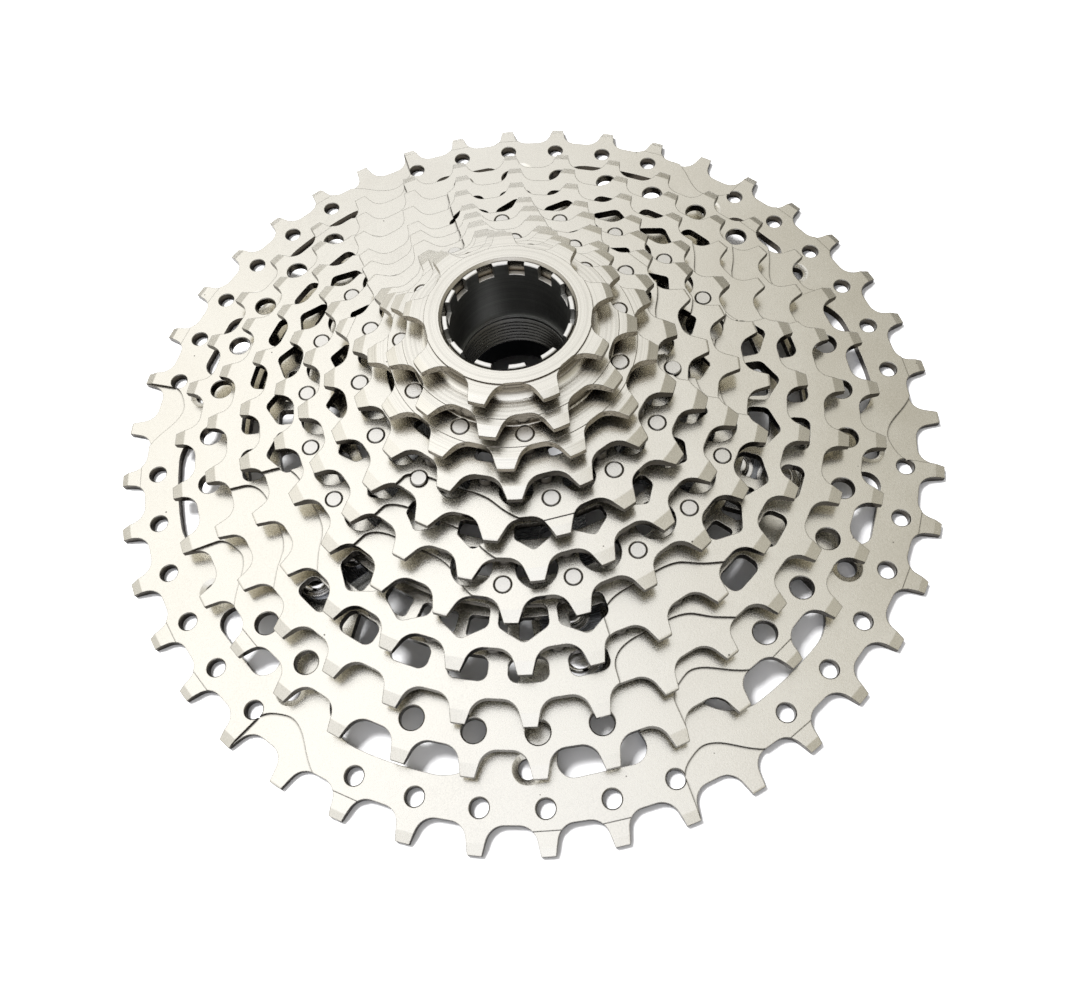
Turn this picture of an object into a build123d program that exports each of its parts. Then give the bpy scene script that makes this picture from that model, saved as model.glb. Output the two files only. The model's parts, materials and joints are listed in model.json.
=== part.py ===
from build123d import *
import os
from math import cos, hypot, pi, radians, sin, tan

# Eleven-speed bicycle cassette, 9 to 42 teeth, of pinned steel sprockets on a splined carrier.
# Millimetres. The axis of rotation is Z, the back face of the largest sprocket is Z = 0, and the
# smallest sprocket is uppermost. Angles are in degrees, counter-clockwise from +X.

# --- driving dimensions -------------------------------------------------------------------------
CHAIN_PITCH = 12.7
ROLLER_RADIUS = 3.85
SEAT_RADIUS = 3.3          # corner radius at the bottom of a chain gap
PLATE = 1.8                # thickness of a sprocket plate
STEP = 3.77                # distance from one sprocket to the next
TIP_LAND = 2.6             # width of a tooth tip on the stamped sprockets
BLOCK_LAND = 3.0           # width of a tooth tip on the machined block
FACET = 2.2                # radial length of the sloping facet at a tooth tip
FACET_DROP = 0.7           # how far the facet falls at the tip
TIP_RISE = 0.2             # how far the tips of the small sprockets stand beyond the pitch circle
TIP_GROWTH = 0.041         # what each tooth above the base count adds to that
TIP_BASE = 15
FLANK_ANGLE = 0.75         # slope of a tooth flank in degrees: a constant and a part per tooth
FLANK_SPREAD = 598
FLANK_LIMIT = 34
CLEARANCE = 2.0            # how far cutting outlines run past the tooth tips
GATE_DEPTH = 0.6           # depth of the shift gates
RELIEF_DEPTH = 0.2         # depth of the relieved teeth beside the gates
RELIEF_START = 1.0         # where the relief starts outside the tooth root
RELIEF_LENGTH = 8.0
RELIEF_WIDTH = 9.5

PIN_RADIUS = 1.55          # pins whose heads show
BLIND_RADIUS = 1.1         # pins that stop inside the smaller sprocket
SHOULDER = 0.55            # how far a pin's shoulder stands out between two plates
BLIND_ENTRY = 1.05         # how far a blind pin enters the smaller sprocket
EDGE = 0.18                # broken edge round pin heads and their holes

# Clocking: the angle of one gap centre of each sprocket, which times the shift gates.
GAP_ANGLE = {42: 4.99, 36: 1.03, 32: 0.67, 28: 1.02, 24: 14.73, 21: 2.89, 18: 7.02, 15: 12.22,
             13: 26.22, 11: 8.61, 9: 27.06}
TEETH = list(GAP_ANGLE)
LEVEL = {teeth: index for index, teeth in enumerate(TEETH)}

# Shift gates: first gap, repeats round the sprocket, teeth covered, lead of the straight edge
# ahead of the first gap in millimetres, and depth of the recess below the tooth roots.
GATES = {42: (227.85, 6, 1, 4.4, 5.9), 36: (201.03, 4, 1, 4.1, 5.8), 32: (191.92, 4, 2, 1.6, 6.9),
         28: (193.88, 4, 2, 2.5, 6.6), 24: (224.73, 3, 2, 2.3, 5.5), 21: (225.75, 3, 2, 2.2, 4.6),
         18: (227.02, 3, 2, 2.0, 4.3)}

# The gate's long curve. Heights are parts of its depth above its lowest point, and places are tooth
# pitches after the straight edge or before the end.
GATE_BEND = 0.35           # how far the straight edge runs below the root
GATE_ENTRY = (0.1, 0.28)
GATE_LOWEST = 0.33         # where the lowest point lies along the whole gate
GATE_RISE = ((0.2, 0.6), (0.62, 0.35), (1.0, 0.1))
GATE_EXIT = (0.5, 0.06)    # millimetres above the root, and pitches past the end
GATE_EXIT_ANGLE = 75
GATE_LEAN = 0.4            # lean of the straight edge, in degrees round the axis

# Largest sprocket: ring, countersunk holes and the six lugs that meet the carrier.
RING_INNER = 74.0
LUG_ANGLE = 35.0
LUGS = 6
RING_HOLE_RADIUS = 1.7
RING_HOLE_CIRCLE = 78.45
SCREW_HOLE_RADIUS = 1.85
SCREW_SINK_RADIUS = 2.9
SCREW_SINK = 0.4           # depth of the shallow countersink
SCREW_CIRCLE = 71.6
SCREW_OFFSET = 10.8        # angle from the middle of a lug
BARE_SCREW = 9             # the one place of the twelve that has no hole
LUG_PIN_CIRCLE = 60.6
LUG_PIN_OFFSET = 9.1       # angle from the middle of a lug

# Pin circles, which lie just inside the roots of the smaller sprocket of each pair.
PINS_13_15_CIRCLE = 20.4
PINS_15_18_CIRCLE = 25.5
PINS_18_21_CIRCLE = 29.8
PINS_21_24_CIRCLE = 36.9
PINS_24_28_CIRCLE = 42.3
PINS_28_32_CIRCLE = 51.5
PINS_32_36_CIRCLE = 60.2
THIN_PIN_RADIUS = 0.9      # blind pins where the ring is narrow
LUG_PIN_RADIUS = 1.4       # pins from the lugs to the 36-tooth ring

# Inner radius of each plate below the block.
INNER = {36: 57.9, 32: 42.0, 28: 39.5, 24: 33.8, 21: 26.8, 18: 22.6, 15: 17.4}

# Lock tube, its retaining ring and the bore that holds them.
BLOCK_BORE = 11.8
TUBE_RADIUS = 11.72
TUBE_NECK = 11.42
TUBE_BORE = 10.8
THREAD_RADIUS = 10.3
TUBE_TOP = 39.3
TUBE_BOTTOM = 10.6
TUBE_RELIEF = 10.9         # inner radius below the thread
THREAD_BOTTOM = 16.8
THREAD_TOP = 24.5
TUBE_SLOTS = 12
SLOT_WIDTH = 3.0
SLOT_BOTTOM = 36.4
LUG_CLOCK = 1.8
LEDGE_BORE = 11.5          # inner ledge of the block, on which the tube's shoulder bears
LEDGE_TOP = 31.2
SHOULDER_GAP = 0.05
RING_BOTTOM = 33.2
RING_TOP = 34.0
RING_INNER_RADIUS = 11.5
RING_OUTER_RADIUS = 12.2
TUBE_GROOVE = 11.4

# Teeth that are relieved over their whole length, counted from the gate that comes before them.
RELIEVED = {42: (1, 4, 5), 36: (1,), 18: (2,)}

# Splined carrier and its rivets.
CARRIER_TOP = 4.6
HUB_RADIUS = 23.0
HUB_TOP = 10.0
PILOT_RADIUS = 17.0
SPLINE_RADIUS = 18.5
SPLINES = 18
SPLINE_WIDTH = 3.0
SPLINE_TOP = 7.0
RIVET_CIRCLES = (44.5, 53.4)
RIVET_RADIUS = 2.4
RIVET_HEAD = 3.1
WASHER_RADIUS = 4.0
WASHER = 0.6


# --- shared geometry ----------------------------------------------------------------------------
def pitch_radius(teeth):
    return CHAIN_PITCH / 2 / sin(pi / teeth)


def root_radius(teeth):
    return pitch_radius(teeth) - ROLLER_RADIUS


def tip_radius(teeth):
    return pitch_radius(teeth) + TIP_RISE + TIP_GROWTH * max(teeth - TIP_BASE, 0)


def tooth_pitch(teeth):
    return 360 / teeth


def tooth_angle(teeth):
    """The angle of the first tooth centre after the clocked gap."""
    return GAP_ANGLE[teeth] + tooth_pitch(teeth) / 2


def base(teeth):
    """The height of a sprocket's back face."""
    return LEVEL[teeth] * STEP


def top(teeth):
    return base(teeth) + PLATE


def polar(radius, angle):
    return (radius * cos(radians(angle)), radius * sin(radians(angle)))


def chain_gap(teeth, land):
    """One gap between teeth: a flat-bottomed U, with +X pointing out along the gap."""
    root, tip = root_radius(teeth), tip_radius(teeth)
    half_angle = 180 / teeth - land / 2 / tip * 180 / pi
    mouth = tip * sin(radians(half_angle))
    height = tip * cos(radians(half_angle)) - root
    slope = tan(radians(min(FLANK_ANGLE + FLANK_SPREAD / teeth, FLANK_LIMIT)))
    seat = mouth - height * slope
    beyond = height + CLEARANCE
    with BuildSketch(mode=Mode.PRIVATE) as gap:
        with BuildLine():
            wall = FilletPolyline(
                (root + beyond, -seat - beyond * slope),
                (root, -seat),
                (root, seat),
                (root + beyond, seat + beyond * slope),
                radius=SEAT_RADIUS,
            )
            Line(wall @ 1, wall @ 0)
        make_face()
    return gap.sketch


def toothed_disc(teeth, bore):
    """Adds a sprocket blank with its chain gaps and bore to the open part."""
    with BuildSketch(Plane.XY.offset(base(teeth))) as blank:
        Circle(tip_radius(teeth))
        with PolarLocations(0, teeth, start_angle=GAP_ANGLE[teeth]):
            add(CHAIN_GAPS[teeth], mode=Mode.SUBTRACT)
        Circle(bore, mode=Mode.SUBTRACT)
    extrude(blank.sketch, amount=PLATE)


def tip_facets(teeth, length=FACET, drop=FACET_DROP):
    """Cuts the sloping facets on the outer face of the teeth, which are parts of one cone."""
    tip, face = tip_radius(teeth), top(teeth)
    with BuildSketch(Plane.XZ) as facet:
        with BuildLine():
            Polyline(
                (tip - length, face),
                (tip + length, face + drop),
                (tip + length, face - 2 * drop),
                (tip - length, face),
            )
        make_face()
    revolve(facet.sketch, axis=Axis.Z, mode=Mode.SUBTRACT)


def gate_outline(teeth):
    """One shift gate: a straight leading edge, then a long curve up to the last gap's root."""
    start, _, covered, lead, depth = GATES[teeth]
    root, outside, pitch = root_radius(teeth), tip_radius(teeth) + CLEARANCE, tooth_pitch(teeth)
    end = start + covered * pitch
    edge = start - lead / root * 180 / pi
    low = root - depth
    exit_angle = end + GATE_EXIT[1] * pitch
    with BuildSketch(mode=Mode.PRIVATE) as gate:
        with BuildLine():
            leading = Line(polar(outside, edge - GATE_LEAN), polar(root - GATE_BEND * depth, edge))
            trailing = Spline(
                leading @ 1,
                polar(low + GATE_ENTRY[0] * depth, edge + GATE_ENTRY[1] * pitch),
                polar(low, edge + GATE_LOWEST * (end - edge)),
                *[polar(low + rise * depth, end - back * pitch) for rise, back in GATE_RISE],
                polar(root + GATE_EXIT[0], exit_angle),
                tangents=(leading % 1, polar(1, end + GATE_EXIT_ANGLE)),
            )
            closing = Line(trailing @ 1, polar(outside, exit_angle))
            ThreePointArc(closing @ 1, polar(outside, (edge + end) / 2), leading @ 0)
        make_face()
    return gate.sketch


def shift_gates(teeth):
    """Cuts the gates, and lowers the relieved teeth between them."""
    start, repeats, _, _, _ = GATES[teeth]
    with BuildSketch(Plane.XY.offset(top(teeth))) as gates:
        with PolarLocations(0, repeats):
            add(GATE_OUTLINES[teeth])
    extrude(gates.sketch, amount=-GATE_DEPTH, mode=Mode.SUBTRACT)
    for step in RELIEVED.get(teeth, ()):
        follower = start + (step + 0.5) * tooth_pitch(teeth)
        with BuildSketch(Plane.XY.offset(top(teeth))) as reliefs:
            with PolarLocations(root_radius(teeth) + RELIEF_START, repeats, start_angle=follower):
                Rectangle(RELIEF_LENGTH, RELIEF_WIDTH, align=(Align.MIN, Align.CENTER))
        extrude(reliefs.sketch, amount=-RELIEF_DEPTH, mode=Mode.SUBTRACT)


def places(radius, angles):
    return [polar(radius, angle) for angle in angles]


def sector_window(inner, outer, width, corner):
    """A window between two radii, centred on +X; its width is in degrees."""
    half = width / 2
    with BuildSketch(mode=Mode.PRIVATE) as window:
        with BuildLine():
            far = ThreePointArc(polar(outer, -half), (outer, 0), polar(outer, half))
            near = ThreePointArc(polar(inner, -half), (inner, 0), polar(inner, half))
            Line(near @ 0, far @ 0)
            Line(near @ 1, far @ 1)
        make_face()
        fillet(window.vertices(), corner)
    return window.sketch


def domed_window(inner, shoulder, apex, width, corner, crown):
    """A window with a blunt point outwards, centred on +X; its width is in degrees."""
    half = width / 2
    with BuildSketch(mode=Mode.PRIVATE) as window:
        with BuildLine():
            near, side = polar(inner, half), polar(shoulder, half)
            FilletPolyline(
                near,
                side,
                (apex, 0),
                (side[0], -side[1]),
                (near[0], -near[1]),
                radius=[corner, crown, corner, corner, corner],
                close=True,
            )
        make_face()
    return window.sketch


def cut_windows(teeth, window, angles):
    """Cuts one window at each angle through a sprocket plate of the open part."""
    with BuildSketch(Plane.XY.offset(base(teeth))) as windows:
        with Locations(*[Location((0, 0, 0), (0, 0, angle)) for angle in angles]):
            add(window)
    extrude(windows.sketch, amount=PLATE, mode=Mode.SUBTRACT)


def drill(face, points, radius, depth):
    """Drills holes down from a height into the open part."""
    with BuildSketch(Plane.XY.offset(face)) as circles:
        with Locations(*points):
            Circle(radius)
    extrude(circles.sketch, amount=-depth, mode=Mode.SUBTRACT)


def sink(face, points, radius, drop, spread=None):
    """Breaks the upper edge of holes with a cone, at 45 degrees unless its spread is given."""
    with Locations(*[(x, y, face - drop / 2) for x, y in points]):
        Cone(radius, radius + (spread or drop), drop, mode=Mode.SUBTRACT)


def tooth_centres(teeth, skip=()):
    """Tooth centre angles, without the ones whose place in the repeating pattern is skipped."""
    period = teeth // (GATES[teeth][1] if teeth in GATES else 1)
    return [tooth_angle(teeth) + k * tooth_pitch(teeth) for k in range(teeth) if k % period not in skip]


def gap_centres(teeth):
    return [GAP_ANGLE[teeth] + k * tooth_pitch(teeth) for k in range(teeth)]


def shouldered_pins(points, bottom, plates, height, radius, head_edge=0.0):
    """Adds one pin per point, with a shoulder in each space between the plates it crosses."""
    with Locations(*[(x, y, bottom) for x, y in points]):
        Cylinder(radius, height - bottom, align=(Align.CENTER, Align.CENTER, Align.MIN))
    for lower in plates:
        with Locations(*[(x, y, lower + PLATE) for x, y in points]):
            Cylinder(radius + SHOULDER, STEP - PLATE, align=(Align.CENTER, Align.CENTER, Align.MIN))
    if head_edge:
        chamfer(edges().filter_by(GeomType.CIRCLE).group_by(Axis.Z)[-1], head_edge)


CHAIN_GAPS = {teeth: chain_gap(teeth, BLOCK_LAND if teeth < 15 else TIP_LAND) for teeth in TEETH}
GATE_OUTLINES = {teeth: gate_outline(teeth) for teeth in GATES}

# --- where the pins and windows stand -----------------------------------------------------------
BARE_11 = 9                # where the block has no pin and the 15-tooth sprocket no window
block_pins = places(PINS_13_15_CIRCLE, [a for k, a in enumerate(gap_centres(11)) if k != BARE_11])
pins_15_18_at = places(PINS_15_18_CIRCLE, gap_centres(15))
pins_18_21_at = places(PINS_18_21_CIRCLE, [a for k, a in enumerate(gap_centres(15)) if k % 5])
pins_21_24_at = places(PINS_21_24_CIRCLE, gap_centres(21))
pins_24_28_at = places(PINS_24_28_CIRCLE, [a for k, a in enumerate(gap_centres(21)) if k % 7 not in (0, 6)])
pins_28_32_at = places(PINS_28_32_CIRCLE, gap_centres(28))
pins_32_36_at = places(PINS_32_36_CIRCLE, [tooth_centres(32)[k] for k in range(32) if k % 8 in (0, 1, 3, 5)])
lug_centres = [LUG_ANGLE + k * 360 / LUGS for k in range(LUGS)]
pins_36_42_at = places(LUG_PIN_CIRCLE, [a + s * LUG_PIN_OFFSET for a in lug_centres for s in (-1, 1)])
screw_angles = [a + s * SCREW_OFFSET for a in lug_centres for s in (-1, 1)]
screw_holes = places(SCREW_CIRCLE, [a for k, a in enumerate(screw_angles) if k != BARE_SCREW])
rivets_at = [polar(radius, angle) for radius in RIVET_CIRCLES for angle in lug_centres]

os.makedirs("parts", exist_ok=True)

# --- largest sprocket ---------------------------------------------------------------------------
LUG_OUTLINE = ((76.0, 27.0), (49.0, 8.2), (49.0, -8.2), (76.0, -27.0))
SMALL_WINDOW = ((73.6, 9.6), (61.0, 4.5), (61.0, -4.5), (73.6, -9.6))
LUG_END = 7.4
LUG_END_CENTRE = 45.0
LUG_END_LENGTH = 6.0
ARM_FILLET = 9.0
WINDOW_FILLET = 3.0
WINDOW_CORNERS = ((60.9, 61.4), (74.1, 74.4))   # radii between which the window's corners lie
NEAR = 0.05
FACET_42 = 1.9

with BuildPart() as sprocket_42t:
    with BuildSketch(Plane.XY) as body_42t:
        Circle(tip_radius(42))
        Circle(RING_INNER, mode=Mode.SUBTRACT)
        with PolarLocations(0, LUGS, start_angle=LUG_ANGLE):
            Polygon(*LUG_OUTLINE, align=None)
            with Locations((LUG_END_CENTRE + LUG_END_LENGTH / 2, 0)):
                Rectangle(LUG_END_LENGTH, 2 * LUG_END)
            with Locations((LUG_END_CENTRE, 0)):
                Circle(LUG_END)
        arm_corners = body_42t.vertices().filter_by(lambda v: abs(hypot(v.X, v.Y) - RING_INNER) < NEAR)
        fillet([v for v in arm_corners if abs(v.Y) > NEAR or v.X < 0], ARM_FILLET)
        with PolarLocations(0, LUGS, start_angle=LUG_ANGLE):
            Polygon(*SMALL_WINDOW, align=None, mode=Mode.SUBTRACT)
        for near, far in WINDOW_CORNERS:
            corners = body_42t.vertices().filter_by(lambda v: near < hypot(v.X, v.Y) < far)
            fillet(corners, WINDOW_FILLET)
        with PolarLocations(0, 42, start_angle=GAP_ANGLE[42]):
            add(CHAIN_GAPS[42], mode=Mode.SUBTRACT)
    extrude(amount=PLATE)
    tip_facets(42, FACET_42)
    shift_gates(42)
    ring_holes = places(RING_HOLE_CIRCLE, [a for k, a in enumerate(tooth_centres(42)) if k % 7 != 5])
    drill(PLATE, ring_holes, RING_HOLE_RADIUS, PLATE)
    sink(PLATE, ring_holes, RING_HOLE_RADIUS, EDGE)
    drill(PLATE, screw_holes, SCREW_HOLE_RADIUS, PLATE)
    sink(PLATE, screw_holes, SCREW_HOLE_RADIUS, SCREW_SINK, SCREW_SINK_RADIUS - SCREW_HOLE_RADIUS)
    drill(PLATE, pins_36_42_at, LUG_PIN_RADIUS, PLATE)
    drill(PLATE, rivets_at, RIVET_RADIUS, PLATE)
sprocket_42t.part.label = "sprocket_42t"
export_step(sprocket_42t.part, "parts/sprocket_42t.step")

# --- 36-tooth ring ------------------------------------------------------------------------------
HOLE_36_CIRCLE = 66.0
HOLE_36_RADIUS = 2.2
GATE_PAIR = (1, 2)         # teeth beside a gate, counted from +X, which have no hole or window
BARE_TOOTH_36 = 23

with BuildPart() as sprocket_36t:
    toothed_disc(36, INNER[36])
    tip_facets(36)
    shift_gates(36)
    bare = tooth_centres(36)[BARE_TOOTH_36]
    holes_36 = places(HOLE_36_CIRCLE, [a for a in tooth_centres(36, GATE_PAIR) if a != bare])
    drill(top(36), holes_36, HOLE_36_RADIUS, PLATE)
    sink(top(36), holes_36, HOLE_36_RADIUS, EDGE)
    drill(top(36), pins_32_36_at, BLIND_RADIUS, PLATE)
    drill(base(36) + BLIND_ENTRY, pins_36_42_at, LUG_PIN_RADIUS, BLIND_ENTRY)
sprocket_36t.part.label = "sprocket_36t"
export_step(sprocket_36t.part, "parts/sprocket_36t.step")

# --- 32-tooth sprocket --------------------------------------------------------------------------
SPOKE_LAG_32 = 3.1         # how far the inner openings stand behind the chain gaps, in degrees
outer_windows_32 = sector_window(53.4, 58.0, 7.5, 1.7)
inner_windows_32 = sector_window(46.0, 50.2, 8.8, 0.9)

with BuildPart() as sprocket_32t:
    toothed_disc(32, INNER[32])
    tip_facets(32)
    shift_gates(32)
    cut_windows(32, outer_windows_32, tooth_centres(32, GATE_PAIR))
    cut_windows(32, inner_windows_32, [a - SPOKE_LAG_32 for a in gap_centres(32)])
    drill(top(32), pins_28_32_at, THIN_PIN_RADIUS, PLATE)
    drill(base(32) + BLIND_ENTRY, pins_32_36_at, BLIND_RADIUS, BLIND_ENTRY)
sprocket_32t.part.label = "sprocket_32t"
export_step(sprocket_32t.part, "parts/sprocket_32t.step")

# --- 28-tooth sprocket --------------------------------------------------------------------------
windows_28 = domed_window(45.0, 49.0, 52.0, 10.8, 1.4, 1.6)

with BuildPart() as sprocket_28t:
    toothed_disc(28, INNER[28])
    tip_facets(28)
    shift_gates(28)
    cut_windows(28, windows_28, tooth_centres(28, GATE_PAIR))
    drill(top(28), pins_24_28_at, PIN_RADIUS, PLATE)
    drill(base(28) + BLIND_ENTRY, pins_28_32_at, THIN_PIN_RADIUS, BLIND_ENTRY)
sprocket_28t.part.label = "sprocket_28t"
export_step(sprocket_28t.part, "parts/sprocket_28t.step")

# --- 24-tooth sprocket --------------------------------------------------------------------------
WINDOW_24_RADIUS = 3.8
WINDOW_24_CIRCLE = 39.5

with BuildPart() as sprocket_24t:
    toothed_disc(24, INNER[24])
    tip_facets(24)
    shift_gates(24)
    drill(top(24), places(WINDOW_24_CIRCLE, tooth_centres(21, skip=(6,))), WINDOW_24_RADIUS, PLATE)
    drill(top(24), pins_24_28_at, PIN_RADIUS, PLATE)
    sink(top(24), pins_24_28_at, PIN_RADIUS, EDGE)
    drill(top(24), pins_21_24_at, BLIND_RADIUS, PLATE)
sprocket_24t.part.label = "sprocket_24t"
export_step(sprocket_24t.part, "parts/sprocket_24t.step")

# --- 21-tooth sprocket --------------------------------------------------------------------------
windows_21 = domed_window(32.5, 35.2, 37.5, 11.0, 0.9, 1.2)

with BuildPart() as sprocket_21t:
    toothed_disc(21, INNER[21])
    tip_facets(21)
    shift_gates(21)
    cut_windows(21, windows_21, tooth_centres(21))
    drill(top(21), pins_18_21_at, PIN_RADIUS, PLATE)
    drill(base(21) + BLIND_ENTRY, pins_21_24_at, BLIND_RADIUS, BLIND_ENTRY)
sprocket_21t.part.label = "sprocket_21t"
export_step(sprocket_21t.part, "parts/sprocket_21t.step")

# --- 18-tooth sprocket --------------------------------------------------------------------------
WINDOW_18_RADIUS = 3.0
WINDOW_18_CIRCLE = 27.5

with BuildPart() as sprocket_18t:
    toothed_disc(18, INNER[18])
    tip_facets(18)
    shift_gates(18)
    drill(top(18), places(WINDOW_18_CIRCLE, tooth_centres(15)), WINDOW_18_RADIUS, PLATE)
    drill(top(18), pins_18_21_at, PIN_RADIUS, PLATE)
    sink(top(18), pins_18_21_at, PIN_RADIUS, EDGE)
    drill(top(18), pins_15_18_at, THIN_PIN_RADIUS, PLATE)
sprocket_18t.part.label = "sprocket_18t"
export_step(sprocket_18t.part, "parts/sprocket_18t.step")

# --- 15-tooth sprocket --------------------------------------------------------------------------
window_15 = sector_window(21.3, 23.9, 14.5, 0.8)

with BuildPart() as sprocket_15t:
    toothed_disc(15, INNER[15])
    tip_facets(15)
    cut_windows(15, window_15, [a for k, a in enumerate(tooth_centres(11)) if k != BARE_11])
    drill(top(15), block_pins, PIN_RADIUS, PLATE)
    drill(base(15) + BLIND_ENTRY, pins_15_18_at, THIN_PIN_RADIUS, BLIND_ENTRY)
sprocket_15t.part.label = "sprocket_15t"
export_step(sprocket_15t.part, "parts/sprocket_15t.step")

# --- block of the three smallest sprockets, machined from one piece ------------------------------
NECK_UNDERCUT = 0.12
FLARE_13 = 0.35            # radius of the hollow curve at the foot of each neck
FLARE_11 = 1.6
MOUTH_CHAMFER = 0.5
FACE_STEPS = {13: (22.9, 0.12), 11: (19.5, 0.12), 9: (14.9, 0.3)}   # radius and depth

with BuildPart() as small_sprockets:
    toothed_disc(13, LEDGE_BORE)
    toothed_disc(11, LEDGE_BORE)
    toothed_disc(9, LEDGE_BORE)
    for lower, upper, flare in ((13, 11, FLARE_13), (11, 9, FLARE_11)):
        neck = root_radius(upper) - NECK_UNDERCUT
        with BuildSketch(Plane.XZ):
            with BuildLine():
                sag = flare * (1 - cos(pi / 4))
                foot = ThreePointArc(
                    (neck, top(lower) + flare),
                    (neck + sag, top(lower) + sag),
                    (neck + flare, top(lower)),
                )
                Polyline(
                    foot @ 1,
                    (LEDGE_BORE, top(lower)),
                    (LEDGE_BORE, base(upper)),
                    (neck, base(upper)),
                    foot @ 0,
                )
            make_face()
        revolve(axis=Axis.Z)
    for teeth in (13, 11, 9):
        tip_facets(teeth)
    for teeth, (radius, depth) in FACE_STEPS.items():
        with BuildSketch(Plane.XY.offset(top(teeth))):
            Circle(tip_radius(teeth) + 1)
            Circle(radius, mode=Mode.SUBTRACT)
        extrude(amount=-depth, mode=Mode.SUBTRACT)
    with BuildSketch(Plane.XZ):
        with BuildLine():
            Polyline(
                (LEDGE_BORE - 1, LEDGE_TOP),
                (BLOCK_BORE, LEDGE_TOP),
                (BLOCK_BORE, RING_BOTTOM),
                (RING_OUTER_RADIUS, RING_BOTTOM),
                (RING_OUTER_RADIUS, RING_TOP),
                (BLOCK_BORE, RING_TOP),
                (BLOCK_BORE, top(9) - MOUTH_CHAMFER),
                (BLOCK_BORE + MOUTH_CHAMFER, top(9)),
                (LEDGE_BORE - 1, top(9)),
                (LEDGE_BORE - 1, LEDGE_TOP),
            )
        make_face()
    revolve(axis=Axis.Z, mode=Mode.SUBTRACT)
    drill(top(13), block_pins, PIN_RADIUS, PLATE)
    sink(top(13), block_pins, PIN_RADIUS, EDGE)
small_sprockets.part.label = "small_sprockets"
export_step(small_sprockets.part, "parts/small_sprockets.step")

# --- pins: the first three groups show their heads, the others stop inside the smaller sprocket ---
with BuildPart() as pins_13_15:
    shouldered_pins(block_pins, base(15), (base(15),), top(13), PIN_RADIUS, EDGE)
pins_13_15.part.label = "pins_13_15"
export_step(pins_13_15.part, "parts/pins_13_15.step")

with BuildPart() as pins_18_21:
    shouldered_pins(pins_18_21_at, base(21), (base(21),), top(18), PIN_RADIUS, EDGE)
pins_18_21.part.label = "pins_18_21"
export_step(pins_18_21.part, "parts/pins_18_21.step")

with BuildPart() as pins_24_28:
    shouldered_pins(pins_24_28_at, base(28), (base(28),), top(24), PIN_RADIUS, EDGE)
pins_24_28.part.label = "pins_24_28"
export_step(pins_24_28.part, "parts/pins_24_28.step")

with BuildPart() as pins_15_18:
    shouldered_pins(pins_15_18_at, base(18), (base(18),), base(15) + BLIND_ENTRY, THIN_PIN_RADIUS)
pins_15_18.part.label = "pins_15_18"
export_step(pins_15_18.part, "parts/pins_15_18.step")

with BuildPart() as pins_21_24:
    shouldered_pins(pins_21_24_at, base(24), (base(24),), base(21) + BLIND_ENTRY, BLIND_RADIUS)
pins_21_24.part.label = "pins_21_24"
export_step(pins_21_24.part, "parts/pins_21_24.step")

with BuildPart() as pins_28_32:
    shouldered_pins(pins_28_32_at, base(32), (base(32),), base(28) + BLIND_ENTRY, THIN_PIN_RADIUS)
pins_28_32.part.label = "pins_28_32"
export_step(pins_28_32.part, "parts/pins_28_32.step")

with BuildPart() as pins_32_36:
    shouldered_pins(pins_32_36_at, base(36), (base(36),), base(32) + BLIND_ENTRY, BLIND_RADIUS)
pins_32_36.part.label = "pins_32_36"
export_step(pins_32_36.part, "parts/pins_32_36.step")

with BuildPart() as pins_36_42:
    shouldered_pins(pins_36_42_at, base(42), (base(42),), base(36) + BLIND_ENTRY, LUG_PIN_RADIUS)
pins_36_42.part.label = "pins_36_42"
export_step(pins_36_42.part, "parts/pins_36_42.step")

# --- splined carrier ----------------------------------------------------------------------------
LEG_OUTLINE = ((20.0, 8.0), (52.2, 5.2), (52.2, -5.2), (20.0, -8.0))
LEG_END = 5.2
LEG_END_CENTRE = 52.2
LEG_SLOT_CENTRE = 32.0
LEG_SLOT_LENGTH = 12.0
LEG_SLOT_WIDTH = 5.0
HUB_EDGE = 0.6

with BuildPart() as carrier:
    with BuildSketch(Plane.XY.offset(PLATE)):
        Circle(HUB_RADIUS)
        with PolarLocations(0, LUGS, start_angle=LUG_ANGLE):
            Polygon(*LEG_OUTLINE, align=None)
            with Locations((LEG_END_CENTRE, 0)):
                Circle(LEG_END)
            with Locations((LEG_SLOT_CENTRE, 0)):
                SlotOverall(LEG_SLOT_LENGTH, LEG_SLOT_WIDTH, mode=Mode.SUBTRACT)
    extrude(amount=CARRIER_TOP - PLATE)
    with BuildSketch(Plane.XY.offset(PLATE)):
        Circle(HUB_RADIUS)
    extrude(amount=HUB_TOP - PLATE)
    chamfer(carrier.edges().filter_by(GeomType.CIRCLE).group_by(Axis.Z)[-1], HUB_EDGE)
    with BuildSketch(Plane.XY.offset(PLATE)):
        Circle(PILOT_RADIUS)
    extrude(amount=HUB_TOP - PLATE, mode=Mode.SUBTRACT)
    with BuildSketch(Plane.XY.offset(PLATE)):
        with PolarLocations(PILOT_RADIUS - 1, SPLINES):
            Rectangle(SPLINE_RADIUS - PILOT_RADIUS + 1, SPLINE_WIDTH, align=(Align.MIN, Align.CENTER))
    extrude(amount=SPLINE_TOP - PLATE, mode=Mode.SUBTRACT)
    drill(CARRIER_TOP, rivets_at, RIVET_RADIUS, CARRIER_TOP - PLATE)
carrier.part.label = "carrier"
export_step(carrier.part, "parts/carrier.step")

# --- rivets that hold the lugs to the carrier, with a washer under each domed head ----------------
RIVET_DOME = 1.2
RIVET_CROWN = 0.9

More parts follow.
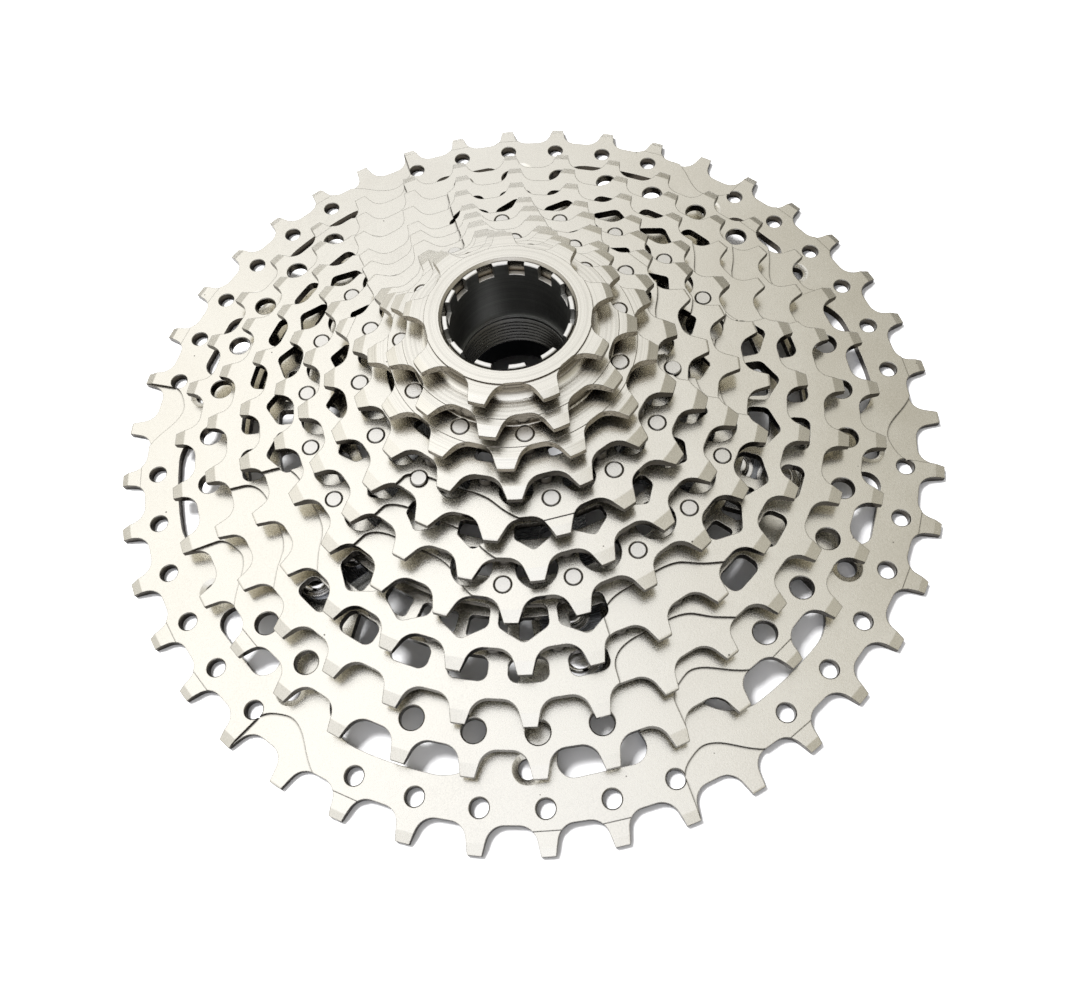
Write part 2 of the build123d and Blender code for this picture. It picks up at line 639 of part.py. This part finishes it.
with BuildPart() as rivets:
    with Locations(*[(x, y, 0) for x, y in rivets_at]):
        Cylinder(RIVET_RADIUS, CARRIER_TOP + WASHER, align=(Align.CENTER, Align.CENTER, Align.MIN))
    with Locations(*[(x, y, CARRIER_TOP + WASHER) for x, y in rivets_at]):
        Cylinder(RIVET_HEAD, RIVET_DOME, align=(Align.CENTER, Align.CENTER, Align.MIN))
    fillet(rivets.edges().filter_by(GeomType.CIRCLE).group_by(Axis.Z)[-1], RIVET_CROWN)
rivets.part.label = "rivets"
export_step(rivets.part, "parts/rivets.step")

with BuildPart() as rivet_washers:
    with BuildSketch(Plane.XY.offset(CARRIER_TOP)):
        with Locations(*rivets_at):
            Circle(WASHER_RADIUS)
            Circle(RIVET_RADIUS, mode=Mode.SUBTRACT)
    extrude(amount=WASHER)
rivet_washers.part.label = "rivet_washers"
export_step(rivet_washers.part, "parts/rivet_washers.step")

# --- lock tube, which turns inside the block and screws onto the wheel's driver --------------------
TUBE_EDGE = 0.15
GROOVE_PLAY = 0.1

with BuildPart() as lock_tube:
    with BuildSketch(Plane.XZ):
        with BuildLine():
            Polyline(
                (TUBE_RELIEF, TUBE_BOTTOM),
                (TUBE_NECK, TUBE_BOTTOM),
                (TUBE_NECK, LEDGE_TOP + SHOULDER_GAP),
                (TUBE_RADIUS, LEDGE_TOP + SHOULDER_GAP),
                (TUBE_RADIUS, RING_BOTTOM - GROOVE_PLAY),
                (TUBE_GROOVE, RING_BOTTOM - GROOVE_PLAY),
                (TUBE_GROOVE, RING_TOP + GROOVE_PLAY),
                (TUBE_RADIUS, RING_TOP + GROOVE_PLAY),
                (TUBE_RADIUS, TUBE_TOP - TUBE_EDGE),
                (TUBE_RADIUS - TUBE_EDGE, TUBE_TOP),
                (TUBE_BORE + TUBE_EDGE, TUBE_TOP),
                (TUBE_BORE, TUBE_TOP - TUBE_EDGE),
                (TUBE_BORE, THREAD_TOP),
                (THREAD_RADIUS, THREAD_TOP),
                (THREAD_RADIUS, THREAD_BOTTOM),
                (TUBE_RELIEF, THREAD_BOTTOM),
                (TUBE_RELIEF, TUBE_BOTTOM),
            )
        make_face()
    revolve(axis=Axis.Z)
    with BuildSketch(Plane.XY.offset(SLOT_BOTTOM)):
        with PolarLocations(TUBE_BORE - 1, TUBE_SLOTS, start_angle=LUG_CLOCK + 180 / TUBE_SLOTS):
            Rectangle(TUBE_RADIUS - TUBE_BORE + 2, SLOT_WIDTH, align=(Align.MIN, Align.CENTER))
    extrude(amount=TUBE_TOP - SLOT_BOTTOM, mode=Mode.SUBTRACT)
lock_tube.part.label = "lock_tube"
export_step(lock_tube.part, "parts/lock_tube.step")

# --- split retaining ring, which keeps the tube in the block ---------------------------------------
RING_SPLIT = 20.0

with BuildPart() as retaining_ring:
    with BuildSketch(Plane.XZ):
        with Locations(((RING_INNER_RADIUS + RING_OUTER_RADIUS) / 2, (RING_BOTTOM + RING_TOP) / 2)):
            Rectangle(RING_OUTER_RADIUS - RING_INNER_RADIUS, RING_TOP - RING_BOTTOM)
    revolve(axis=Axis.Z, revolution_arc=360 - RING_SPLIT)
retaining_ring.part.label = "retaining_ring"
export_step(retaining_ring.part, "parts/retaining_ring.step")
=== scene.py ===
import json
from math import cos, pi, radians, sin

import bmesh
import bpy
from mathutils import Matrix, Vector


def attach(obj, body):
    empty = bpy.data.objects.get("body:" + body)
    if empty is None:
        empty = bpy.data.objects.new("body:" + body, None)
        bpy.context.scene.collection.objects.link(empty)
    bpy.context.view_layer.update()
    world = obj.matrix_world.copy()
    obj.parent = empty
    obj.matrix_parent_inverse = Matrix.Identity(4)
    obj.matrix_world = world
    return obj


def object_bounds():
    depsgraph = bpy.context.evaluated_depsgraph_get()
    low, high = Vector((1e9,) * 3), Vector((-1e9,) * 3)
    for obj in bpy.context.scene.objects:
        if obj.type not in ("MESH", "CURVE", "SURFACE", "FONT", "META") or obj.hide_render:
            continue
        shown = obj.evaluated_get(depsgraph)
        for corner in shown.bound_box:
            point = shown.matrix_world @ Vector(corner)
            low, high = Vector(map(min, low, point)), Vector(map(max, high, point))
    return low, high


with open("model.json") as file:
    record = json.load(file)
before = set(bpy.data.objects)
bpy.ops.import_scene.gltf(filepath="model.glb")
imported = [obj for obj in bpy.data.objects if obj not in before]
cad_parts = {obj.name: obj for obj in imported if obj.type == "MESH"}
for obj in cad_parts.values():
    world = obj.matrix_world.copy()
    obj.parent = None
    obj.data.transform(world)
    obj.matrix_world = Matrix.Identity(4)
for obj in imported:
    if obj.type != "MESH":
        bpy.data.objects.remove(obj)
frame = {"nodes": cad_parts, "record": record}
cad_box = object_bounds()

MM = 0.001
NODES = frame["nodes"]

BEVEL_SAMPLES = 4
HOLLOW_SAMPLES = 16
FACE_BAND = (0.97, 0.84)               # cosines of the rolled normal where an edge starts and is full
WALL_BAND = (0.998, 0.95)
WALL_SLOPE = (0.9, 0.55)               # upward part of the normal, from a flat face to a wall


# --- node graph helpers ---------------------------------------------------------------------------
class Graph:
    """A material under construction; its methods add nodes and return their outputs."""

    def __init__(self, name):
        self.material = bpy.data.materials.new(name)
        self.material.use_nodes = True
        self.nodes = self.material.node_tree.nodes
        self.links = self.material.node_tree.links
        self.shader = self.nodes["Principled BSDF"]

    def feed(self, socket, value):
        if isinstance(value, bpy.types.NodeSocket):
            self.links.new(value, socket)
        else:
            socket.default_value = value

    def place(self):
        return self.nodes.new("ShaderNodeTexCoord").outputs["Object"]

    def flat_normal(self):
        return self.nodes.new("ShaderNodeNewGeometry").outputs["True Normal"]

    def upward(self, vector):
        """The Z part of a vector."""
        split = self.nodes.new("ShaderNodeSeparateXYZ")
        self.feed(split.inputs[0], vector)
        return split.outputs["Z"]

    def maths(self, operation, first, second=0.0):
        node = self.nodes.new("ShaderNodeMath")
        node.operation = operation
        self.feed(node.inputs[0], first)
        self.feed(node.inputs[1], second)
        return node.outputs[0]

    def noise(self, scale, detail=3.0, vector=None, rough=0.5):
        node = self.nodes.new("ShaderNodeTexNoise")
        self.feed(node.inputs["Vector"], vector or self.place())
        node.inputs["Scale"].default_value = scale
        node.inputs["Detail"].default_value = detail
        node.inputs["Roughness"].default_value = rough
        return node.outputs["Fac"]

    def specks(self, scale):
        node = self.nodes.new("ShaderNodeTexVoronoi")
        self.feed(node.inputs["Vector"], self.place())
        node.inputs["Scale"].default_value = scale
        return node.outputs["Distance"]

    def span(self, value, low, high, to_low=0.0, to_high=1.0):
        node = self.nodes.new("ShaderNodeMapRange")
        for socket, given in zip(node.inputs, (value, low, high, to_low, to_high)):
            self.feed(socket, given)
        return node.outputs["Result"]

    def mix(self, factor, first, second):
        node = self.nodes.new("ShaderNodeMix")
        node.data_type = "RGBA"
        self.feed(node.inputs["Factor"], factor)
        self.feed(node.inputs["A"], (*first, 1) if isinstance(first, tuple) else first)
        self.feed(node.inputs["B"], (*second, 1) if isinstance(second, tuple) else second)
        return node.outputs["Result"]

    def rounded(self, radius):
        """A normal that rolls over at edges within the radius."""
        node = self.nodes.new("ShaderNodeBevel")
        node.samples = BEVEL_SAMPLES
        node.inputs["Radius"].default_value = radius
        return node.outputs["Normal"]

    def edge(self, rounded, wall):
        """1 beside edges, 0 on open faces: a wide band on walls and a thin one on faces."""
        node = self.nodes.new("ShaderNodeVectorMath")
        node.operation = "DOT_PRODUCT"
        self.feed(node.inputs[0], rounded)
        self.feed(node.inputs[1], self.flat_normal())
        start = self.span(wall, 0, 1, FACE_BAND[0], WALL_BAND[0])
        stop = self.span(wall, 0, 1, FACE_BAND[1], WALL_BAND[1])
        return self.span(node.outputs["Value"], start, stop)

    def upright(self):
        """0 on faces square to the axis, 1 on walls that run along it."""
        return self.span(self.maths("ABSOLUTE", self.upward(self.flat_normal())), *WALL_SLOPE)

    def hollow(self, distance):
        """Ambient occlusion: 0 in tight corners, 1 in the open."""
        node = self.nodes.new("ShaderNodeAmbientOcclusion")
        node.samples = HOLLOW_SAMPLES
        node.inputs["Distance"].default_value = distance
        return node.outputs["AO"]

    def bump(self, height, strength, distance, normal=None):
        node = self.nodes.new("ShaderNodeBump")
        self.feed(node.inputs["Height"], height)
        node.inputs["Strength"].default_value = strength
        node.inputs["Distance"].default_value = distance
        if normal is not None:
            self.feed(node.inputs["Normal"], normal)
        return node.outputs["Normal"]

    def turned(self, scale):
        """Coordinates for turning marks: fine rings about the axis, and fine lines up the walls."""
        split = self.nodes.new("ShaderNodeSeparateXYZ")
        self.feed(split.inputs[0], self.place())
        square = self.maths("MULTIPLY", split.outputs["X"], split.outputs["X"])
        other = self.maths("MULTIPLY", split.outputs["Y"], split.outputs["Y"])
        radius = self.maths("SQRT", self.maths("ADD", square, other))
        join = self.nodes.new("ShaderNodeCombineXYZ")
        self.feed(join.inputs["X"], self.maths("MULTIPLY", radius, scale))
        self.feed(join.inputs["Z"], self.maths("MULTIPLY", split.outputs["Z"], scale))
        return join.outputs[0]


# --- materials ------------------------------------------------------------------------------------
# Colours are linear, scales are per metre and depths are of the bumps.
EDGE_RADIUS = 0.26 * MM
# painted shade on walls, darkening faces by how upright they are
WALL_PAINTED_SHADE = (0.045, 0.038, 0.029)
# painted shade along edges, a dark outline
EDGE_PAINTED_SHADE = (0.02, 0.014, 0.009)
# colour of the dark dots and turning marks, and of the painted shade in corners
DARK_MARKS_AND_SHADE = (0.018, 0.012, 0.007)
# painted shade in corners, from ambient occlusion: how far it spreads and how strong it is
CORNER_SHADE_REACH, CORNER_SHADE_STRENGTH = 1.2 * MM, 0.9
CORNER_SHADE_SPAN = (0.78, 0.42)              # openness at which the painted corner shade starts and is full

CLOUD_SCALE = 60                       # blotches of the plating
GRAIN_SCALE, GRAIN_DEPTH = 3600, 0.022 * MM
PIT_SCALE, PIT_DEPTH = 1400, 0.02 * MM
DOT_SCALE, DOT_STRENGTH = 170, 0.75    # rare dark dots
DOT_SIZE = (0.035, 0.025)              # distances from a dot's centre where it starts and is full
MARK_SCALE, MARK_DEPTH = 2400, 0.03 * MM

PLATED = dict(face=(0.83, 0.808, 0.742), shade=(0.78, 0.756, 0.688))
# machined steel: lighter painted shade on walls and in corners, spreading further from corners
MACHINED = dict(edge_radius=0.18 * MM, shade_reach=2.4 * MM, wall_shade=(0.17, 0.14, 0.1), corner_shade=(0.09, 0.066, 0.04))

BARE_METAL = (0.7, 0.7, 0.69)          # the alloy where its anodising is rubbed off
ALLOY_CLOUD_SCALE, ALLOY_GRAIN_SCALE, ALLOY_MARK_SCALE = 220, 3200, 3000
ALLOY_DEPTH = 0.02 * MM

NOTCH_FLOOR = 36.4 * MM                # heights on the lock tube
THREAD_LOW = 17.25 * MM
RIM_METAL = (0.86, 0.85, 0.82)
BORE_SHADE, BORE_FACE = (0.21, 0.213, 0.205), (0.37, 0.37, 0.353)
BORE_PAINTED_SHADE = (0.006, 0.007, 0.009)      # painted shade below the thread
BORE_MARK_SCALE, BORE_DEPTH = 4000, 0.02 * MM


def steel(name, face, shade, roughness, grain, marks=0.0, dark=0.98, outline=1.0, speckle=0.15,
          edge_radius=EDGE_RADIUS, shade_reach=CORNER_SHADE_REACH, wall_shade=WALL_PAINTED_SHADE, corner_shade=DARK_MARKS_AND_SHADE):
    """Nickel-plated steel: mottled colour, blasted grain, painted shade on walls, along edges and in
    corners.

    marks, dark, outline and speckle are the strengths of the turning marks, of the painted shade on
    walls, of the painted shade along edges and of the dark grains; reach is how far the painted corner
    shade spreads.
    """
    g = Graph(name)
    rounded = g.rounded(edge_radius)
    wall = g.upright()
    edge = g.edge(rounded, wall)
    cloud = g.noise(CLOUD_SCALE, 4, rough=0.6)
    fine = g.noise(GRAIN_SCALE, 2, rough=0.75)
    pits = g.span(g.specks(PIT_SCALE), 0.05, 0.22)
    painted_corner_shade = g.span(g.hollow(shade_reach), *CORNER_SHADE_SPAN)
    colour = g.mix(g.span(cloud, 0.35, 0.68), shade, face)
    colour = g.mix(g.span(fine, 0.35, 0.6, speckle, 0.0), colour, tuple(c * 0.4 for c in face))
    dots = g.span(g.specks(DOT_SCALE), *DOT_SIZE, 0.0, DOT_STRENGTH)
    colour = g.mix(dots, colour, DARK_MARKS_AND_SHADE)
    # painted shade on walls, by how upright a face is
    colour = g.mix(g.maths("MULTIPLY", wall, dark), colour, wall_shade)
    if marks:
        rings = g.noise(1, 3, g.turned(MARK_SCALE), 0.7)
        lines = g.span(rings, 0.5, 0.6, 0.0, marks)
        colour = g.mix(g.maths("MULTIPLY", lines, g.span(wall, 0, 1, 0.15, 0.9)), colour, DARK_MARKS_AND_SHADE)
    # painted shade in corners, from ambient occlusion
    colour = g.mix(g.maths("MULTIPLY", painted_corner_shade, CORNER_SHADE_STRENGTH), colour, corner_shade)
    # painted shade: a dark outline along edges
    colour = g.mix(g.maths("MULTIPLY", edge, outline), colour, EDGE_PAINTED_SHADE)
    g.feed(g.shader.inputs["Base Color"], colour)
    g.shader.inputs["Metallic"].default_value = 1.0
    uneven = g.maths("ADD", g.span(cloud, 0.3, 0.7, roughness - 0.05, roughness + 0.06),
                     g.span(fine, 0.3, 0.7, -0.05, 0.05))
    g.feed(g.shader.inputs["Roughness"], g.maths("SUBTRACT", uneven, g.maths("MULTIPLY", edge, 0.1)))
    normal = g.bump(fine, grain, GRAIN_DEPTH, rounded)
    normal = g.bump(pits, grain * 0.4, PIT_DEPTH, normal)
    if marks:
        normal = g.bump(rings, marks, MARK_DEPTH, normal)
    g.feed(g.shader.inputs["Normal"], normal)
    return g.material


def alloy(name, face, shade, roughness, marks):
    """Anodised aluminium with turning marks and edges rubbed back to bare metal."""
    g = Graph(name)
    rounded = g.rounded(EDGE_RADIUS)
    edge = g.edge(rounded, 0.0)
    rings = g.noise(1, 3, g.turned(ALLOY_MARK_SCALE), 0.6)
    cloud = g.noise(ALLOY_CLOUD_SCALE, 3)
    colour = g.mix(g.span(cloud, 0.35, 0.65), shade, face)
    lighter = tuple(min(1.0, c * 1.8 + 0.02) for c in face)
    colour = g.mix(g.span(rings, 0.45, 0.7, 0.0, 0.35), colour, lighter)
    colour = g.mix(g.maths("MULTIPLY", edge, 0.85), colour, BARE_METAL)
    g.feed(g.shader.inputs["Base Color"], colour)
    g.shader.inputs["Metallic"].default_value = 0.9
    g.feed(g.shader.inputs["Roughness"], g.span(rings, 0.3, 0.7, roughness - 0.06, roughness + 0.08))
    normal = g.bump(rings, marks, ALLOY_DEPTH, rounded)
    grain = g.noise(ALLOY_GRAIN_SCALE, 2)
    g.feed(g.shader.inputs["Normal"], g.bump(grain, 0.15, ALLOY_DEPTH, normal))
    return g.material


def tube_finish(name):
    """Black bore with fine turning lines and painted shade below the thread; the notched rim is bare
    metal.
    """
    g = Graph(name)
    rounded = g.rounded(EDGE_RADIUS)
    rings = g.noise(1, 4, g.turned(BORE_MARK_SCALE), 0.7)
    height = g.upward(g.place())
    facing = g.upward(g.flat_normal())
    notched = g.span(height, NOTCH_FLOOR - 0.3 * MM, NOTCH_FLOOR - 0.1 * MM)
    rim = g.maths("MULTIPLY", notched, g.span(facing, 0.5, 0.9))
    black = g.mix(g.span(rings, 0.35, 0.7), BORE_SHADE, BORE_FACE)
    # painted shade below the thread, where the bore lies in shadow
    below = g.span(height, THREAD_LOW + MM, THREAD_LOW - MM)
    black = g.mix(below, black, BORE_PAINTED_SHADE)
    g.feed(g.shader.inputs["Base Color"], g.mix(rim, black, RIM_METAL))
    g.shader.inputs["Metallic"].default_value = 0.85
    g.feed(g.shader.inputs["Roughness"], g.span(rings, 0.3, 0.7, 0.3, 0.42))
    g.feed(g.shader.inputs["Normal"], g.bump(rings, 0.4, BORE_DEPTH, rounded))
    return g.material


FINISHES = {
    "plated_steel": steel("plated_steel", roughness=0.25, grain=0.65, **PLATED),
    "machined_steel": steel("machined_steel", roughness=0.25, grain=0.15, marks=0.75, dark=0.72,
                            outline=0.75, speckle=0.08, **MACHINED, **PLATED),
    "pin_steel": steel("pin_steel", face=(0.8, 0.785, 0.745), shade=(0.72, 0.705, 0.665),
                       roughness=0.3, grain=0.8, edge_radius=0.12 * MM),
    "anodised_alloy": alloy("anodised_alloy", face=(0.34, 0.35, 0.37), shade=(0.28, 0.29, 0.31),
                            roughness=0.26, marks=0.3),
    "rivet_steel": steel("rivet_steel", face=(0.95, 0.94, 0.92), shade=(0.88, 0.87, 0.85),
                         roughness=0.16, grain=0.1, marks=0.6, dark=0.3, outline=0.6),
    "black_alloy": tube_finish("black_alloy"),
    "spring_steel": steel("spring_steel", face=(0.3, 0.29, 0.28), shade=(0.2, 0.2, 0.2),
                          roughness=0.3, grain=0.2),
}

for part in frame["record"]["subparts"]:
    node = NODES[part["node"]]
    node.data.materials.clear()
    node.data.materials.append(FINISHES[part["material_slot"]])
    for face in node.data.polygons:
        face.use_smooth = False


# --- thread inside the lock tube ------------------------------------------------------------------
THREAD_PITCH = 1.0 * MM
THREAD_ROOT = 10.33 * MM
THREAD_CREST = 9.8 * MM
THREAD_TURNS = 7
THREAD_STEPS = 96                      # steps in one turn
THREAD_FOOT, THREAD_TIP = 0.46, 0.1    # half widths of the ridge, in pitches
THREAD_METAL = dict(face=(0.1, 0.098, 0.09), shade=(0.07, 0.068, 0.063), roughness=0.2, marks=0.2)


def make_thread():
    """One closed helical ridge, with a trapezoid profile, run up the tube's wall."""
    profile = ((THREAD_ROOT, -THREAD_FOOT), (THREAD_CREST, -THREAD_TIP),
               (THREAD_CREST, THREAD_TIP), (THREAD_ROOT, THREAD_FOOT))
    mesh = bmesh.new()
    rings = []
    for step in range(THREAD_TURNS * THREAD_STEPS + 1):
        turn = 2 * pi * step / THREAD_STEPS
        height = THREAD_LOW + THREAD_PITCH * step / THREAD_STEPS
        rings.append([mesh.verts.new((r * cos(turn), r * sin(turn), height + rise * THREAD_PITCH))
                      for r, rise in profile])
    corners = len(profile)
    for low, high in zip(rings, rings[1:]):
        for a in range(corners):
            b = (a + 1) % corners
            mesh.faces.new((low[a], low[b], high[b], high[a]))
    mesh.faces.new(rings[0][::-1])
    mesh.faces.new(rings[-1])
    bmesh.ops.recalc_face_normals(mesh, faces=mesh.faces)
    data = bpy.data.meshes.new("lock_tube_thread")
    mesh.to_mesh(data)
    mesh.free()
    thread = bpy.data.objects.new("lock_tube_thread", data)
    bpy.context.scene.collection.objects.link(thread)
    data.materials.append(alloy("thread_metal", **THREAD_METAL))
    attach(thread, "lock_tube")


make_thread()


# --- floor ----------------------------------------------------------------------------------------
FLOOR_HALF = 3.0
FLOOR_DROP = 0.02 * MM                 # keeps the floor just clear of the back face
FLOOR_COLOUR = (0.70, 0.70, 0.71, 1)
FLOOR_ROUGHNESS = 0.6


def make_floor():
    """A plain pale card under the cassette."""
    mesh = bpy.data.meshes.new("floor")
    corners = [(-1, -1), (1, -1), (1, 1), (-1, 1)]
    mesh.from_pydata([(x * FLOOR_HALF, y * FLOOR_HALF, 0) for x, y in corners], [], [(0, 1, 2, 3)])
    floor = bpy.data.objects.new("floor", mesh)
    bpy.context.scene.collection.objects.link(floor)
    g = Graph("floor_card")
    g.shader.inputs["Base Color"].default_value = FLOOR_COLOUR
    g.shader.inputs["Roughness"].default_value = FLOOR_ROUGHNESS
    mesh.materials.append(g.material)
    floor.location.z = cad_box[0][2] - FLOOR_DROP
    return floor


floor_card = make_floor()


# --- light ----------------------------------------------------------------------------------------
KEY = dict(place=(-0.45, 0.35, 0.85), size=(0.8, 0.8), power=0.5, colour=(1.0, 0.99, 0.97))
TABLE_LAMP = dict(place=(-0.36, 0.3, 0.85), size=(0.25, 0.25), power=15.0)

ROOM_TOP = 1.12                        # brightness of the room overhead
ROOM_RIGHT = 0.62                      # how much it loses towards +X
ROOM_LEFT = 0.42                       # how much it loses towards -X
ROOM_BACK = 0.24                       # how much it loses towards +Y
ROOM_EDGE = 0.5                        # the X part of a direction beyond which it loses no more
HORIZON = 0.35                         # the share of it that is left at the horizon
HORIZON_TOP = 0.3                      # the Z part of a direction above which it is all there
COOL, WARM = (0.98, 0.995, 1.06), (1.0, 0.965, 0.865)


def softbox(name, place, size, power, colour=(1, 1, 1)):
    """A rectangular lamp that faces the origin."""
    lamp = bpy.data.lights.new(name, "AREA")
    lamp.shape = "RECTANGLE"
    lamp.size, lamp.size_y = size
    lamp.energy = power
    lamp.color = colour
    box = bpy.data.objects.new(name, lamp)
    box.location = place
    box.rotation_euler = (-Vector(place)).to_track_quat("-Z", "Y").to_euler()
    bpy.context.scene.collection.objects.link(box)
    return box


def light_the_floor(card):
    """The floor has a lamp of its own, so that it shows white through the windows."""
    table_only = bpy.data.collections.new("table_only")
    table_only.objects.link(card)
    softbox("table_lamp", **TABLE_LAMP).light_linking.receiver_collection = table_only


def make_room():
    """A white room, dimmer to both sides, to the back and at the horizon, and warmer where it dims."""
    world = bpy.data.worlds.new("studio")
    world.use_nodes = True
    nodes, links = world.node_tree.nodes, world.node_tree.links
    split = nodes.new("ShaderNodeSeparateXYZ")
    links.new(nodes.new("ShaderNodeTexCoord").outputs["Generated"], split.inputs[0])

    def ramp(source, low, high, to_low, to_high):
        """The source from low to high, as to_low to to_high and level beyond them."""
        node = nodes.new("ShaderNodeMapRange")
        links.new(source, node.inputs[0])
        for socket, value in zip(list(node.inputs)[1:5], (low, high, to_low, to_high)):
            socket.default_value = value
        return node.outputs["Result"]

    def join(operation, first, second):
        """The sum or product of two outputs."""
        node = nodes.new("ShaderNodeMath")
        node.operation = operation
        links.new(first, node.inputs[0])
        links.new(second, node.inputs[1])
        return node.outputs[0]

    across, along, up = (split.outputs[axis] for axis in "XYZ")
    right = ramp(across, 0, ROOM_EDGE, ROOM_TOP, ROOM_TOP - ROOM_RIGHT)
    side = join("ADD", right, ramp(across, -1, 0, -ROOM_LEFT, 0))
    side = join("ADD", side, ramp(along, 0, 1, 0, -ROOM_BACK))
    strength = join("MULTIPLY", side, ramp(up, 0, HORIZON_TOP, HORIZON, 1))
    tint = nodes.new("ShaderNodeMix")
    tint.data_type = "RGBA"
    links.new(ramp(side, ROOM_TOP - ROOM_RIGHT, ROOM_TOP, 0, 1), tint.inputs["Factor"])
    tint.inputs["A"].default_value = (*WARM, 1)
    tint.inputs["B"].default_value = (*COOL, 1)
    background = nodes["Background"]
    links.new(tint.outputs["Result"], background.inputs["Color"])
    links.new(strength, background.inputs["Strength"])
    bpy.context.scene.world = world


softbox("key", **KEY)
light_the_floor(floor_card)
make_room()
bpy.context.scene.view_settings.view_transform = "Standard"
bpy.context.scene.view_settings.look = "Medium High Contrast"


# --- camera ---------------------------------------------------------------------------------------
SENSOR = 36.0
FOCAL_RATIO = 0.83699                  # focal length over picture width
CAMERA_PLACE = Vector((1.32, -98.95, 167.35)) * MM
CAMERA_TILT = radians(63.873)          # how far the view looks down from level
CAMERA_ROLL = radians(-7.608)
CLIP_START = 10 * MM


def make_camera():
    """A wide lens close to the front edge, which looks down at the small sprockets."""
    lens = bpy.data.cameras.new("camera")
    lens.sensor_width = SENSOR
    lens.lens = SENSOR * FOCAL_RATIO
    lens.clip_start = CLIP_START
    camera = bpy.data.objects.new("camera", lens)
    camera.matrix_world = (Matrix.Translation(CAMERA_PLACE)
                           @ Matrix.Rotation(pi / 2 - CAMERA_TILT, 4, "X")
                           @ Matrix.Rotation(CAMERA_ROLL, 4, "Z"))
    bpy.context.scene.collection.objects.link(camera)
    bpy.context.scene.camera = camera


make_camera()
